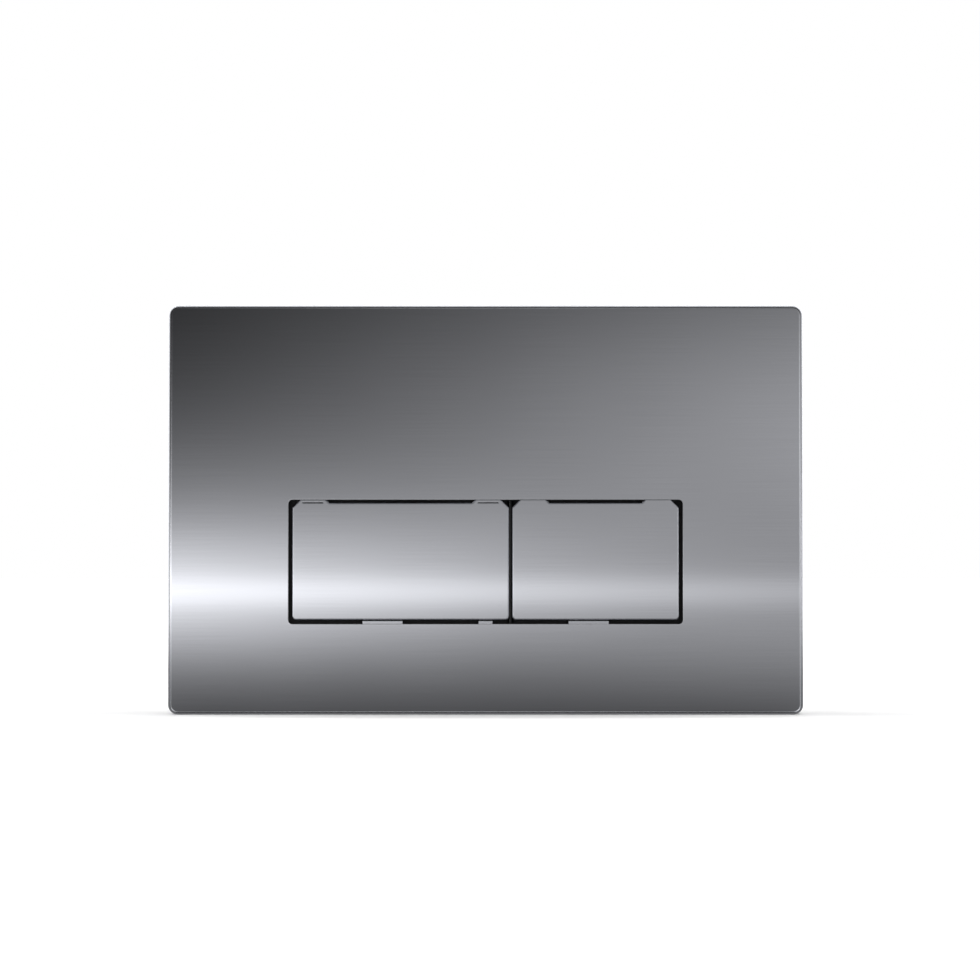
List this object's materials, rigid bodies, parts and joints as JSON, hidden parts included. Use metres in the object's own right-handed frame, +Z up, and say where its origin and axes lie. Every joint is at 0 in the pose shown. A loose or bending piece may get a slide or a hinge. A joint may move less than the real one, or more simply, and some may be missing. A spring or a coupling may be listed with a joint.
{
  "type": "flush button plate",
  "caption": "Rectangular brushed steel flush plate for a concealed cistern, with a wide and a narrow push button side by side, hinged at their upper edges over sprung push rods.",
  "frame": {"origin": "middle of the plate, on the wall plane, halfway between the two fixing bolts", "axes": "+Y into the wall along the fixing bolts, +X to the right as seen from the room, +Z up"},
  "size_m": [0.248, 0.067, 0.16],
  "materials": {
    "brushed_steel": "stainless steel with a fine horizontal brush grain",
    "black_plastic": "black moulded plastic, fine matt",
    "grey_plastic": "light grey moulded plastic, matt",
    "white_plastic": "white sliding plastic",
    "zinc_steel": "zinc plated steel",
    "spring_steel": "rolled spring strip",
    "rubber": "black rubber"
  },
  "bodies": {
    "plate": {"front_plate": "brushed_steel", "carrier_frame": "black_plastic", "mounting_frame": "grey_plastic", "fixing_bolts": "zinc_steel", "stop_buffers": "rubber", "spring_screws": "zinc_steel", "guide_screws": "zinc_steel", "full_flush_hinge_pin": "zinc_steel", "half_flush_hinge_pin": "zinc_steel", "full_flush_return_spring": "spring_steel", "half_flush_return_spring": "spring_steel", "full_flush_rod_guide": "grey_plastic", "half_flush_rod_guide": "grey_plastic"},
    "full_flush_button": {"full_flush_face": "brushed_steel", "full_flush_body": "black_plastic"},
    "half_flush_button": {"half_flush_face": "brushed_steel", "half_flush_body": "black_plastic"},
    "full_flush_push_rod": {"full_flush_rod": "zinc_steel", "full_flush_rod_head": "white_plastic", "full_flush_rod_nut": "zinc_steel"},
    "half_flush_push_rod": {"half_flush_rod": "zinc_steel", "half_flush_rod_head": "white_plastic", "half_flush_rod_nut": "zinc_steel"}
  },
  "joints": [
    {"name": "full_flush_press", "type": "hinge", "parent": "plate", "child": "full_flush_button", "pos_m": [-0.0332, -0.0084, 0.00805], "axis": [1, 0, 0], "range_deg": [0, 6.4], "stiffness_Nm_per_rad": 1.4, "springref_deg": -2.86, "deforming": ["full_flush_return_spring"]},
    {"name": "half_flush_press", "type": "hinge", "parent": "plate", "child": "half_flush_button", "pos_m": [0.04295, -0.0084, 0.00805], "axis": [1, 0, 0], "range_deg": [0, 6.4], "stiffness_Nm_per_rad": 1.4, "springref_deg": -2.86, "deforming": ["half_flush_return_spring"]},
    {"name": "full_flush_rod_slide", "type": "slide", "parent": "plate", "child": "full_flush_push_rod", "axis": [0, 1, 0], "range_m": [0, 0.0043]},
    {"name": "half_flush_rod_slide", "type": "slide", "parent": "plate", "child": "half_flush_push_rod", "axis": [0, 1, 0], "range_m": [0, 0.0043]}
  ],
  "couplings": [
    {"joint": "full_flush_rod_slide", "follows": "full_flush_press", "m_per_rad": 0.03605},
    {"joint": "half_flush_rod_slide", "follows": "half_flush_press", "m_per_rad": 0.03605}
  ]
}
